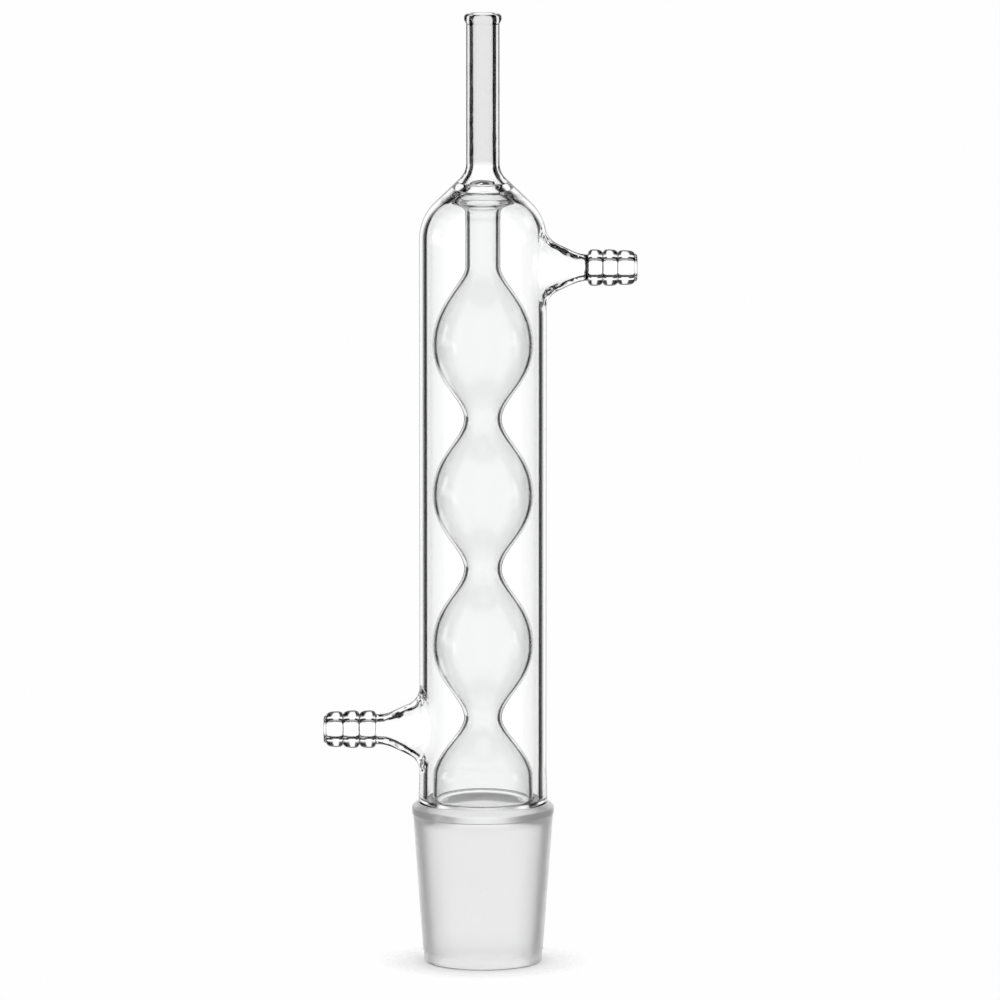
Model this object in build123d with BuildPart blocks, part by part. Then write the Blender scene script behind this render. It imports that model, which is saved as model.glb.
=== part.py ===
from build123d import *
import os
from math import cos, radians, sin, tan
from typing import NamedTuple

# Bulb condenser for a ground-joint flask: a bulbed vapour tube inside a water jacket, with a cone
# below, a vent tube above and two barbed hose arms, all blown and fused as one piece of glass.
# Millimetres, +Z up along the tubes, origin at the centre of the cone's end face.

# Ground cone and its collar
cone_diameter = 34.5  # at the top of the ground band
cone_taper = 0.1445  # diameter lost for each millimetre down the ground band
ground_length = 33.9
cone_wall = 2.0
lip_height = 2.9  # clear fire-polished band below the ground one
lip_draw = 0.35  # by which the radius draws in over the lip
lip_round = 0.6
collar_step = 0.25  # by which the radius steps out above the ground band
collar_height = 1.9
shoulder_height = 1.2  # slope from the collar in to the jacket

# Bulb tube, the vapour's way up
bulb_count = 3
bulb_pitch = 37.2
bulb_diameter = 24.84
throat_diameter = 9.34
neck_diameter = 8.6
tube_wall = 0.85
skirt_length = 5.3  # straight part below the lowest throat's flare
skirt_flare = 15.0
neck_rise = 19.0  # from the widest line of the top bulb to the neck
neck_length = 13.2
throat_fullness = 5.0  # how long the outline stays near the throat's radius
bulb_fullness = 9.6  # how long it stays near the bulb's radius
neck_fullness = 3.5
skirt_fullness = 6.0

# Funnel from the cone's bore up into the bulb tube
funnel_height = 6.0
funnel_ease = 2.4

# Water jacket
water_gap = 1.63  # between a bulb and the jacket's inside
jacket_wall = 1.65
jacket_floor = 0.5  # glass between the shoulder's top and the lowest water
foot_swell = 0.25  # by which the jacket is fuller just above the shoulder
foot_height = 9.0

# Dome and ring seal, where the bulb tube's flared top is fused in under the jacket's dome
dome_lean = 46.0  # degrees of the dome's outer slope from the vertical
dome_underlean = 53.0  # the same of its underside, so that the glass thickens towards the seal
dome_round = 12.5
seal_diameter = 15.4  # of the flared top's rim
seal_lean = 22.0  # degrees by which the flared top climbs
seal_round = 1.8
seal_rim = 0.65  # height of the rim's edge
seal_depth = 1.8  # from the rim's lower edge up to the underside of a dome of even wall
seal_edge = 0.7  # glass between the edge of the lens-shaped chamber and the water
chamber_lean = 12.0  # degrees by which the chamber's floor climbs
ring_diameter = 12.0  # of the fused ring that joins the flared top to the dome
ring_gap = 0.6  # height of the water beside that ring, between the flared top and the dome
ridge_diameter = 6.8  # of the hole between the chamber and the vent tube
ridge_drop = 0.1  # from the widest line of the vent's mouth down to that hole's upper edge
ridge_edge = 0.6  # height of the hole's edge

# Vent tube
vent_diameter = 8.24
vent_bore = 5.4
vent_length = 34.4
vent_flare = 5.0  # radius of the bend from the dome into the tube
bore_drop = 0.4  # by which the bore starts to flare lower than the outside
mouth_diameter = 10.8  # widest line of the bore's flare
bead_height = 2.5
bead_swell = 0.52
bead_round = 0.9

# Hose arms
arm_bore = 4.1
root_angle = 25.0  # degrees of the drawn-out root to the arm's axis
root_length = 10.0  # from the jacket's outside to the plain neck
root_bend = 8.0
root_fillet = 4.5
barb_count = 3
barb_rise = 1.5
groove_diameter = 7.3
last_barb_drop = 0.22  # by which the outermost barb is lower
tip_diameter = 6.7
tip_length = 3.3  # from the outermost barb's crest to the end
tip_round = 0.6
outlet_drop = 7.1  # of the upper arm's axis below the dome's start
outlet_neck_diameter = 6.5
outlet_barb_diameter = 9.1
outlet_barb_pitch = 3.7
outlet_first_barb = 11.5  # crest from the jacket's outside
inlet_rise = 17.4  # of the lower arm's axis above the lowest water
inlet_neck_diameter = 7.5
inlet_barb_diameter = 9.4
inlet_barb_pitch = 4.05
inlet_first_barb = 12.2

# Radii and heights that follow from those sizes
cone_radius = cone_diameter / 2
cone_end_radius = cone_radius - cone_taper * ground_length / 2
collar_radius = cone_radius + collar_step
ground_top = lip_height + ground_length
collar_top = ground_top + collar_height
shoulder_top = collar_top + shoulder_height
water_floor = shoulder_top + jacket_floor

bulb_radius = bulb_diameter / 2
throat_radius = throat_diameter / 2
neck_radius = neck_diameter / 2
skirt_top = water_floor + skirt_length
lowest_throat = skirt_top + skirt_flare
top_bulb = lowest_throat + (bulb_count - 0.5) * bulb_pitch
neck_bottom = top_bulb + neck_rise
neck_top = neck_bottom + neck_length

water_radius = bulb_radius + water_gap
jacket_radius = water_radius + jacket_wall
foot_radius = jacket_radius + foot_swell

lean = radians(dome_lean)
climb = radians(seal_lean)
seal_radius = seal_diameter / 2
flare_end_radius = neck_radius + seal_round * (1 - sin(climb))
flare_end_height = neck_top + seal_round * cos(climb)
seal_bottom = flare_end_height + (seal_radius - flare_end_radius) * tan(climb)
seal_top = seal_bottom + seal_depth
# The dome's outer slope passes this point, one wall outside the one above the rim
slope_radius = seal_radius + jacket_wall * cos(lean)
slope_height = seal_top + jacket_wall * sin(lean)
dome_arc_end = jacket_radius - dome_round * (1 - cos(lean))
dome_bottom = slope_height - (dome_arc_end - slope_radius) / tan(lean) - dome_round * sin(lean)

under = radians(dome_underlean)
inner_dome_round = dome_round - jacket_wall
under_radius = water_radius - inner_dome_round * (1 - cos(under))
under_height = dome_bottom + inner_dome_round * sin(under)
ring_radius = ring_diameter / 2
ring_top = under_height + (under_radius - ring_radius) / tan(under)

vent_radius = vent_diameter / 2
vent_bore_radius = vent_bore / 2
vent_arc_end = vent_radius + vent_flare * (1 - cos(lean))
vent_bottom = slope_height + (slope_radius - vent_arc_end) / tan(lean) + vent_flare * sin(lean)
bead_bottom = vent_bottom + vent_length
total_height = bead_bottom + bead_height
mouth_radius = mouth_diameter / 2
ridge_radius = ridge_diameter / 2
chamber_radius = seal_radius - seal_edge
cut_margin = 1.0  # by which each bore runs past the glass that it opens


class Arm(NamedTuple):
    """A hose arm: side is +1 or -1 along X, and lengths are measured along the arm."""

    side: int
    height: float
    neck_radius: float
    barb_radius: float
    barb_pitch: float
    first_barb: float

    def plane(self):
        return Plane(origin=(0, 0, self.height), x_dir=(self.side, 0, 0), z_dir=(0, -self.side, 0))

    def axis(self):
        return Axis((0, 0, self.height), (self.side, 0, 0))

    def crest(self, number):
        return jacket_radius + self.first_barb + number * self.barb_pitch

    def tip(self):
        return self.crest(barb_count - 1) + tip_length


outlet = Arm(
    side=1,
    height=dome_bottom - outlet_drop,
    neck_radius=outlet_neck_diameter / 2,
    barb_radius=outlet_barb_diameter / 2,
    barb_pitch=outlet_barb_pitch,
    first_barb=outlet_first_barb,
)
inlet = Arm(
    side=-1,
    height=water_floor + inlet_rise,
    neck_radius=inlet_neck_diameter / 2,
    barb_radius=inlet_barb_diameter / 2,
    barb_pitch=inlet_barb_pitch,
    first_barb=inlet_first_barb,
)


def swell(start, end, start_ease, end_ease):
    """A curve between two (radius, height) points that leaves and arrives upright."""
    return Bezier(start, (start[0], start[1] + start_ease), (end[0], end[1] - end_ease), end)


def bulb_tube_line(inset, flare_lean):
    """The bulb tube's outline from its foot up into its flared top, moved in by inset."""
    wide = bulb_radius - inset
    narrow = throat_radius - inset
    neck = neck_radius - inset
    Line((wide, water_floor), (wide, skirt_top))
    swell((wide, skirt_top), (narrow, lowest_throat), skirt_fullness, neck_fullness)
    for number in range(bulb_count):
        throat = lowest_throat + number * bulb_pitch
        middle = throat + bulb_pitch / 2
        swell((narrow, throat), (wide, middle), throat_fullness, bulb_fullness)
        if number < bulb_count - 1:
            swell((wide, middle), (narrow, throat + bulb_pitch), bulb_fullness, throat_fullness)
    swell((wide, top_bulb), (neck, neck_bottom), bulb_fullness, neck_fullness)
    Line((neck, neck_bottom), (neck, neck_top))
    return JernArc((neck, neck_top), (0, 1), seal_round + inset, flare_lean - 90)


def root_line(arm, radius, start):
    """The drawn-out root, from start beside the main axis out to the plain neck of that radius."""
    neck_start = jacket_radius + root_length
    bend_radius = root_bend + arm.neck_radius - radius
    bend = JernArc((neck_start, radius), (-1, 0), bend_radius, -root_angle)
    end = bend @ 1
    inner = (start, end.Y + (end.X - start) * tan(radians(root_angle)))
    Polyline((start, 0), inner, end)
    return bend


def arm_outline(arm):
    """Half outline of an arm's outside: root, neck, barbs and fire-polished tip."""
    start = jacket_radius / 2
    groove_radius = groove_diameter / 2
    tip_radius = tip_diameter / 2
    bend = root_line(arm, arm.neck_radius, start)
    low = (arm.crest(0) - barb_rise, arm.neck_radius)
    Line(bend @ 0, low)
    for number in range(barb_count):
        last = number == barb_count - 1
        crest = (arm.crest(number), arm.barb_radius - (last_barb_drop if last else 0))
        Line(low, crest)
        if last:
            low = (arm.tip() - tip_round, tip_radius)
        else:
            low = (arm.crest(number + 1) - barb_rise, groove_radius)
        TangentArc(crest, low, tangent=(1, 0))
    mouth = JernArc(low, (1, 0), tip_round, -90)
    Polyline(mouth @ 1, (arm.tip(), 0), (start, 0))


def arm_bore_outline(arm):
    """Half outline of an arm's bore, which flares with the root."""
    start = water_radius / 2
    bend = root_line(arm, arm_bore / 2, start)
    beyond = arm.tip() + cut_margin
    Polyline(bend @ 0, (beyond, arm_bore / 2), (beyond, 0), (start, 0))


# The outside of the glass, as if it were solid
with BuildPart() as envelope:
    with BuildSketch(Plane.YZ):
        with BuildLine():
            lip_radius = cone_end_radius - lip_draw
            lip = JernArc((lip_radius - lip_round, 0), (1, 0), lip_round, 90)
            Line((0, 0), lip @ 0)
            Polyline(
                lip @ 1,
                (cone_end_radius, lip_height),
                (cone_radius, ground_top),
                (collar_radius, ground_top),
                (collar_radius, collar_top),
                (foot_radius, shoulder_top),
                (jacket_radius, shoulder_top + foot_height),
                (jacket_radius, dome_bottom),
            )
            dome = JernArc((jacket_radius, dome_bottom), (0, 1), dome_round, dome_lean)
            flare = JernArc((vent_radius, vent_bottom), (0, -1), vent_flare, dome_lean)
            Line(dome @ 1, flare @ 1)
            Line(flare @ 0, (vent_radius, bead_bottom))
            bead_radius = vent_radius + bead_swell
            bead = JernArc((bead_radius, total_height - bead_round), (0, 1), bead_round, 90)
            Polyline((vent_radius, bead_bottom), (bead_radius, bead_bottom + bead_round), bead @ 0)
            Polyline(bead @ 1, (0, total_height), (0, 0))
        make_face()
    revolve(axis=Axis.Z)
    for arm in (outlet, inlet):
        with BuildSketch(arm.plane()):
            with BuildLine():
                arm_outline(arm)
            make_face()
        revolve(axis=arm.axis())
        fillet(envelope.edges(Select.NEW), root_fillet)

# The water's way: in through the lower arm, up round the bulbs and out through the upper arm
with BuildPart() as water_way:
    with BuildSketch(Plane.YZ):
        with BuildLine():
            inner_dome = JernArc((water_radius, dome_bottom), (0, 1), inner_dome_round, dome_underlean)
            apex = (0, ring_top + ring_radius / tan(under))
            Polyline((0, water_floor), (water_radius, water_floor), inner_dome @ 0)
            Polyline(inner_dome @ 1, apex, (0, water_floor))
        make_face()
    revolve(axis=Axis.Z)
    for arm in (outlet, inlet):
        with BuildSketch(arm.plane()):
            with BuildLine():
                arm_bore_outline(arm)
            make_face()
        revolve(axis=arm.axis())
        fillet(water_way.edges(Select.NEW), root_fillet + jacket_wall)
    # The bulb tube and its seal stand in the water's way
    with BuildSketch(Plane.YZ):
        with BuildLine():
            flared_top = bulb_tube_line(0, seal_lean)
            Polyline(
                flared_top @ 1,
                (seal_radius, seal_bottom),
                (seal_radius, seal_bottom + seal_rim),
                (ring_radius, ring_top - ring_gap),
                (ring_radius, vent_bottom),
                (0, vent_bottom),
                (0, water_floor),
                (bulb_radius, water_floor),
            )
        make_face()
    revolve(axis=Axis.Z, mode=Mode.SUBTRACT)

# The vapour's way: up through the cone, the bulbs and the ring seal, and out of the vent
with BuildPart() as vapour_way:
    with BuildSketch(Plane.YZ):
        with BuildLine():
            bore_foot = cone_end_radius - cone_wall - cone_taper * lip_height / 2
            funnel_bottom = water_floor - funnel_height
            bore_top = cone_radius - cone_wall - cone_taper * (ground_top - funnel_bottom) / 2
            Line((bore_foot, 0), (bore_top, funnel_bottom))
            skirt_bore = (bulb_radius - tube_wall, water_floor)
            swell((bore_top, funnel_bottom), skirt_bore, funnel_ease, funnel_ease)
            flared_bore = bulb_tube_line(tube_wall, chamber_lean)
            bore_bend = vent_flare + vent_radius - vent_bore_radius
            bore_bottom = vent_bottom - bore_drop
            vent_mouth = JernArc((vent_bore_radius, bore_bottom), (0, -1), bore_bend, dome_lean)
            floor = flared_bore @ 1
            slope = vent_mouth @ 1
            chamber_climb = (chamber_radius - floor.X) * tan(radians(chamber_lean))
            mouth_height = slope.Y - (mouth_radius - slope.X) / tan(lean)
            ridge_top = mouth_height - ridge_drop
            Polyline(
                floor,
                (chamber_radius, floor.Y + chamber_climb),
                (ridge_radius, ridge_top - ridge_edge),
                (ridge_radius, ridge_top),
                (mouth_radius, mouth_height),
                slope,
            )
            Polyline(
                vent_mouth @ 0,
                (vent_bore_radius, total_height + cut_margin),
                (0, total_height + cut_margin),
                (0, -cut_margin),
                (bore_foot, -cut_margin),
                (bore_foot, 0),
            )
        make_face()
    revolve(axis=Axis.Z)

# The finished glass
with BuildPart() as glass_condenser:
    add(envelope.part)
    add(water_way.part, mode=Mode.SUBTRACT)
    add(vapour_way.part, mode=Mode.SUBTRACT)

glass_condenser.part.label = "glass_condenser"
os.makedirs("parts", exist_ok=True)
export_step(glass_condenser.part, "parts/glass_condenser.step")
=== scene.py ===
import logging
import math
from dataclasses import dataclass, field
from enum import Enum
from typing import Callable

import bpy
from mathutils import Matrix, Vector


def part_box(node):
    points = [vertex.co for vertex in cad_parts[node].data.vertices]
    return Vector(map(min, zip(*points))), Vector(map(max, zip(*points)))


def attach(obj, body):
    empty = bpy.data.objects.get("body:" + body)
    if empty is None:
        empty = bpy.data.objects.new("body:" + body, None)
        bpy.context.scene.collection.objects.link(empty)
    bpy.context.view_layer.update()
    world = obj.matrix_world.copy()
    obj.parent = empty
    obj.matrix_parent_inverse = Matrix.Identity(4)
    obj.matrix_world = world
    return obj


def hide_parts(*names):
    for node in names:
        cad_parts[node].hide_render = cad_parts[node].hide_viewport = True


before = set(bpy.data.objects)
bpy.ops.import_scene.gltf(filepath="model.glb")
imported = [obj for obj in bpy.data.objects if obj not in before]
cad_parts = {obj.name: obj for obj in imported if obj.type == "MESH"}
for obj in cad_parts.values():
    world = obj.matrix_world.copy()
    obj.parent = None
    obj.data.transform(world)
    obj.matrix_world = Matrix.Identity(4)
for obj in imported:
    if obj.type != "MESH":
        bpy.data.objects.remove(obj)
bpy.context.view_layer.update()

# The looks of the bulb condenser: one closed skin of blown glass, spun from the outlines of its
# tubes, with the two hose arms drawn out of its jacket, and the bench and lights around it.
# Sizes are in millimetres up to the point where a mesh is made.

MM = 0.001
TURNS = 96  # columns of faces round the main axis
HALF_BLOCK = 14  # columns and rows from an arm's axis to the edge of the patch it grows from
ARM_TURNS = 8 * HALF_BLOCK  # columns round an arm, one for each point on that patch's edge
ROW_GAP = 0.85  # between two rows of faces in that patch
MERGE_GAP = 0.004  # below which two points are one
SLACK = 0.1  # by which a face's middle may lie off the round wall that it belongs to
EDGE_SHADE = "rim"  # attribute: squared sine of the angle between view and wall below which a rim is painted dark, painted shade for the dark line that the glass's edge shows
WORKED = "worked"  # attribute: how unevenly the flame has left the glass, from 0 to 1

Point = tuple[float, float]
Place = tuple[float, float, float]
Wall = Callable[[float], float]

log = logging.getLogger("glass_condenser")


class Side(Enum):
    """Which way a hose arm points along X."""

    RIGHT = 1
    LEFT = -1


class Finish(Enum):
    """The finishes of the skin, in the order of its materials; VENT and BULB are darker copies of
    CLEAR, painted shade.
    """

    CLEAR = 0
    GROUND = 1
    VENT = 2
    BULB = 3


@dataclass(frozen=True)
class Corner:
    """A corner of an outline and the radius to which the flame has rounded it."""

    across: float
    along: float
    round: float = 0.0

    def place(self) -> Vector:
        """The corner's own point, before it is rounded."""
        return Vector((self.across, self.along))


def soften(corners: list[Corner], step: float = 11.0, guard: float = 0.35) -> list[Point]:
    """Turns corners into a line of points, with an arc at each rounded corner.

    Args:
        corners: The outline's corners in order, open at both ends.
        step: Degrees of turn between two points of an arc.
        guard: Distance beside an arc at which a long straight gets a point, so
            that the arc does not pull the straight's shading.

    Returns:
        The points of the softened outline.
    """
    long_straight = 4 * guard
    points = [tuple(corners[0].place())]
    for before, corner, after in zip(corners, corners[1:], corners[2:]):
        here = corner.place()
        if corner.round == 0:
            points.append(tuple(here))
            continue
        back = before.place() - here
        ahead = after.place() - here
        half = back.angle(ahead) / 2
        reach = corner.round / math.tan(half)
        toward = (back.normalized() + ahead.normalized()).normalized()
        centre = here + toward * corner.round / math.sin(half)
        start = here + back.normalized() * reach - centre
        end = here + ahead.normalized() * reach - centre
        first = math.atan2(start.y, start.x)
        turn = math.remainder(math.atan2(end.y, end.x) - first, math.tau)
        count = max(2, math.ceil(abs(math.degrees(turn)) / step))
        if back.length - reach > long_straight:
            points.append(tuple(here + back.normalized() * (reach + guard)))
        for number in range(count + 1):
            angle = first + turn * number / count
            points.append(tuple(centre + Vector((math.cos(angle), math.sin(angle))) * corner.round))
        if ahead.length - reach > long_straight:
            points.append(tuple(here + ahead.normalized() * (reach + guard)))
    points.append(tuple(corners[-1].place()))
    return points


def curve_point(handles: list[Vector], share: float) -> Vector:
    """The point of a Bezier curve at a share of its way from the first handle to the last.

    Args:
        handles: Its handles, from one end to the other.
        share: 0 at the first end and 1 at the last.

    Returns:
        The point.
    """
    while len(handles) > 1:
        handles = [one.lerp(other, share) for one, other in zip(handles, handles[1:])]
    return handles[0]


def swell(start: Point, end: Point, start_ease: float, end_ease: float, steps: int = 16) -> list[Point]:
    """A blown wall between two points, which leaves the one and meets the other upright.

    Args:
        start: Radius and height at the bottom.
        end: Radius and height at the top.
        start_ease: How long the wall stays near the first radius.
        end_ease: How long it stays near the last.
        steps: Number of stretches.

    Returns:
        The points after start, up to end.
    """
    places = (start, (start[0], start[1] + start_ease), (end[0], end[1] - end_ease), end)
    handles = [Vector(place) for place in places]
    return [tuple(curve_point(handles, number / steps)) for number in range(1, steps + 1)]


def plain(points: list[Point]) -> list[Corner]:
    """The same points as corners that stay as they are."""
    return [Corner(*point) for point in points]


def deselect_all() -> None:
    """Leaves no object selected."""
    bpy.ops.object.select_all(action="DESELECT")


def pick(piece: bpy.types.Object) -> None:
    """Makes a piece the only selected object, and the active one.

    Args:
        piece: The piece.
    """
    deselect_all()
    piece.select_set(True)
    bpy.context.view_layer.objects.active = piece


def new_piece(name: str, places: list[Place], edges: list, faces: list) -> bpy.types.Object:
    """Links a new piece whose points are given in millimetres.

    Args:
        name: Name of the piece and its mesh.
        places: Its points.
        edges: Pairs of point numbers.
        faces: Lists of point numbers.

    Returns:
        The piece.
    """
    mesh = bpy.data.meshes.new(name)
    mesh.from_pydata([Vector(place) * MM for place in places], edges, faces)
    piece = bpy.data.objects.new(name, mesh)
    bpy.context.scene.collection.objects.link(piece)
    return piece


def merge_and_face_out(piece: bpy.types.Object) -> None:
    """Merges the points that meet and turns every face outwards.

    Args:
        piece: The piece.
    """
    pick(piece)
    bpy.ops.object.mode_set(mode="EDIT")
    bpy.ops.mesh.select_all(action="SELECT")
    bpy.ops.mesh.remove_doubles(threshold=MERGE_GAP * MM)
    bpy.ops.mesh.normals_make_consistent(inside=False)
    bpy.ops.object.mode_set(mode="OBJECT")


def open_edges(piece: bpy.types.Object) -> int:
    """Number of edges that don't join exactly two faces.

    Args:
        piece: The piece.

    Returns:
        The number.
    """
    uses = {}
    for face in piece.data.polygons:
        for key in face.edge_keys:
            uses[key] = uses.get(key, 0) + 1
    return sum(1 for count in uses.values() if count != 2)


def spin(name: str, outline: list[Place], centre: Place, axis: Place, turns: int) -> bpy.types.Object:
    """Spins an outline once round an axis, as on a glassblower's lathe.

    Args:
        name: Name of the new piece.
        outline: Points of the outline, in millimetres; a closed one ends where it starts.
        centre: A point on the axis, in millimetres.
        axis: Direction of the axis.
        turns: Number of columns of faces.

    Returns:
        The spun piece, with its seam merged.
    """
    steps = [(number, number + 1) for number in range(len(outline) - 1)]
    piece = new_piece(name, outline, steps, [])
    pick(piece)
    bpy.ops.object.mode_set(mode="EDIT")
    bpy.ops.mesh.select_all(action="SELECT")
    middle = Vector(centre) * MM
    bpy.ops.mesh.spin(steps=turns, angle=math.tau, center=middle, axis=axis)
    bpy.ops.object.mode_set(mode="OBJECT")
    merge_and_face_out(piece)
    return piece


@dataclass(frozen=True)
class GroundJoint:
    """The ground cone, its lip, and the collar and shoulder above it."""

    cone_diameter: float = 34.5
    cone_taper: float = 0.1445
    ground_length: float = 33.9
    wall: float = 2.0
    lip_height: float = 2.9
    lip_draw: float = 0.35
    lip_round: float = 0.6
    lip_step: float = 0.12
    collar_step: float = 0.25
    collar_rise: float = 0.15
    collar_height: float = 1.9
    shoulder_height: float = 1.2
    funnel_height: float = 6.0
    funnel_ease: float = 2.4
    floor_above: float = 0.5

    @property
    def top_radius(self) -> float:
        """Radius at the top of the ground band."""
        return self.cone_diameter / 2

    @property
    def end_radius(self) -> float:
        """Radius at the lower end of the ground band."""
        return self.top_radius - self.cone_taper * self.ground_length / 2

    @property
    def ground_top(self) -> float:
        """Height of the ground band's upper edge."""
        return self.lip_height + self.ground_length

    @property
    def shoulder_top(self) -> float:
        """Height at which the jacket starts."""
        return self.ground_top + self.collar_height + self.shoulder_height

    @property
    def water_floor(self) -> float:
        """Height of the lowest water."""
        return self.shoulder_top + self.floor_above

    def bore_radius(self, height: float) -> float:
        """Radius of the cone's bore at a height."""
        return self.top_radius - self.wall - self.cone_taper * (self.ground_top - height) / 2

    def ring_middle(self) -> Corner:
        """A point in the middle of the end ring, where the outer outline starts and ends."""
        return Corner((self.end_radius - self.lip_draw + self.bore_radius(0)) / 2, 0)

    def outside(self, foot_radius: float) -> list[Corner]:
        """Corners of the outside, from the end ring up to the foot of the jacket.

        Args:
            foot_radius: The jacket's radius at its foot.

        Returns:
            The corners, lowest first.
        """
        collar = self.top_radius + self.collar_step
        collar_top = self.ground_top + self.collar_height
        return [
            Corner(self.end_radius - self.lip_draw, 0, self.lip_round),
            Corner(self.end_radius - self.lip_step, self.lip_height - self.lip_step, round=0.1),
            Corner(self.end_radius, self.lip_height, round=0.08),
            Corner(self.top_radius, self.ground_top, round=0.12),
            Corner(collar, self.ground_top + self.collar_rise, round=0.12),
            Corner(collar, collar_top, round=0.5),
            Corner(foot_radius, self.shoulder_top, round=1.0),
        ]

    def bore(self, skirt_radius: float) -> list[Corner]:
        """Corners of the bore, from the bulb tube's foot down through the funnel to the end ring.

        Args:
            skirt_radius: Inner radius of the bulb tube's foot.

        Returns:
            The corners, highest first.
        """
        low = self.water_floor - self.funnel_height
        start = (self.bore_radius(low), low)
        end = (skirt_radius, self.water_floor)
        funnel = [start] + swell(start, end, self.funnel_ease, self.funnel_ease, steps=12)
        return plain(funnel[::-1]) + [Corner(self.bore_radius(0), 0, round=0.45)]


@dataclass(frozen=True)
class BulbTube:
    """The inner tube with its three bulbs."""

    foot: float
    bulb_count: int = 3
    bulb_pitch: float = 37.2
    bulb_diameter: float = 24.84
    throat_diameter: float = 9.34
    neck_diameter: float = 8.6
    wall: float = 0.85
    skirt_length: float = 5.3
    skirt_flare: float = 15.0
    neck_rise: float = 19.0
    neck_length: float = 13.2
    throat_fullness: float = 5.0
    bulb_fullness: float = 9.6
    neck_fullness: float = 3.5
    skirt_fullness: float = 6.0

    @property
    def radius(self) -> float:
        """Outer radius of a bulb."""
        return self.bulb_diameter / 2

    @property
    def neck_radius(self) -> float:
        """Outer radius of the neck."""
        return self.neck_diameter / 2

    @property
    def skirt_top(self) -> float:
        """Height at which the straight foot ends."""
        return self.foot + self.skirt_length

    @property
    def lowest_throat(self) -> float:
        """Height of the narrow line below the lowest bulb."""
        return self.skirt_top + self.skirt_flare

    @property
    def neck_bottom(self) -> float:
        """Height at which the top bulb has drawn in to the neck."""
        return self.lowest_throat + (self.bulb_count - 0.5) * self.bulb_pitch + self.neck_rise

    @property
    def neck_top(self) -> float:
        """Height at which the neck starts to flare into the ring seal."""
        return self.neck_bottom + self.neck_length

    def line(self, inset: float) -> list[Point]:
        """The tube's outline from its foot to the bottom of its neck.

        Args:
            inset: How far inside the outer wall the outline runs.

        Returns:
            Its points, lowest first.
        """
        wide = self.radius - inset
        narrow = self.throat_diameter / 2 - inset
        neck = self.neck_radius - inset
        points = [(wide, self.skirt_top)]
        low = (narrow, self.lowest_throat)
        points += swell(points[-1], low, self.skirt_fullness, self.neck_fullness)
        for number in range(self.bulb_count):
            middle = (wide, low[1] + self.bulb_pitch / 2)
            points += swell(low, middle, self.throat_fullness, self.bulb_fullness)
            if number < self.bulb_count - 1:
                low = (narrow, low[1] + self.bulb_pitch)
                points += swell(middle, low, self.bulb_fullness, self.throat_fullness)
        points += swell(middle, (neck, self.neck_bottom), self.bulb_fullness, self.neck_fullness)
        return points


@dataclass(frozen=True)
class RingSeal:
    """The joint at the top, where the neck's flare is fused in under the jacket's dome."""

    neck_radius: float
    neck_top: float
    tube_wall: float
    seal_diameter: float = 15.4
    seal_lean: float = 22.0
    seal_round: float = 1.8
    seal_rim: float = 0.65
    seal_depth: float = 1.8
    seal_edge: float = 0.7
    chamber_lean: float = 12.0
    ridge_diameter: float = 6.8
    ridge_drop: float = 0.1
    ridge_edge: float = 0.6

    @property
    def radius(self) -> float:
        """Radius of the flared top's rim."""
        return self.seal_diameter / 2

    def flare(self, inset: float, lean: float) -> Corner:
        """The rounded corner at which the neck turns out into the flare.

        Args:
            inset: How far inside the neck's outer wall it lies.
            lean: Degrees by which the flare climbs.

        Returns:
            The corner.
        """
        bend = self.seal_round + inset
        rise = bend * math.tan(math.radians(90 - lean) / 2)
        return Corner(self.neck_radius - inset, self.neck_top + rise, bend)

    def flare_end(self, inset: float, lean: float, radius: float) -> Corner:
        """The point of the flare's slope at a radius.

        Args:
            inset: How far inside the neck's outer wall the flare starts.
            lean: Degrees by which it climbs.
            radius: Distance from the axis.

        Returns:
            The point, with the flame's rounding.
        """
        corner = self.flare(inset, lean)
        climb = (radius - corner.across) * math.tan(math.radians(lean))
        return Corner(radius, corner.along + climb, round=0.25)

    @property
    def bottom(self) -> float:
        """Height of the rim's lower edge."""
        return self.flare_end(0, self.seal_lean, self.radius).along

    @property
    def top(self) -> float:
        """Height at which a dome of even wall would pass over the rim."""
        return self.bottom + self.seal_depth

    def side(self) -> list[Corner]:
        """Corners of the flared top as the water meets it, from the rim in to the neck.

        Returns:
            The corners.
        """
        return [
            Corner(self.radius, self.bottom + self.seal_rim, round=0.5),
            Corner(self.radius, self.bottom, round=0.5),
            self.flare(0, self.seal_lean),
        ]

    def chamber(self, mouth_height: float) -> list[Corner]:
        """Corners of the lens-shaped chamber, from the hole under the vent in to the neck.

        Args:
            mouth_height: Height of the widest line of the vent's mouth.

        Returns:
            The corners, highest first.
        """
        ridge_top = mouth_height - self.ridge_drop
        return [
            Corner(self.ridge_diameter / 2, ridge_top, round=0.24),
            Corner(self.ridge_diameter / 2, ridge_top - self.ridge_edge, round=0.24),
            self.flare_end(self.tube_wall, self.chamber_lean, self.radius - self.seal_edge),
            self.flare(self.tube_wall, self.chamber_lean),
        ]


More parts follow.
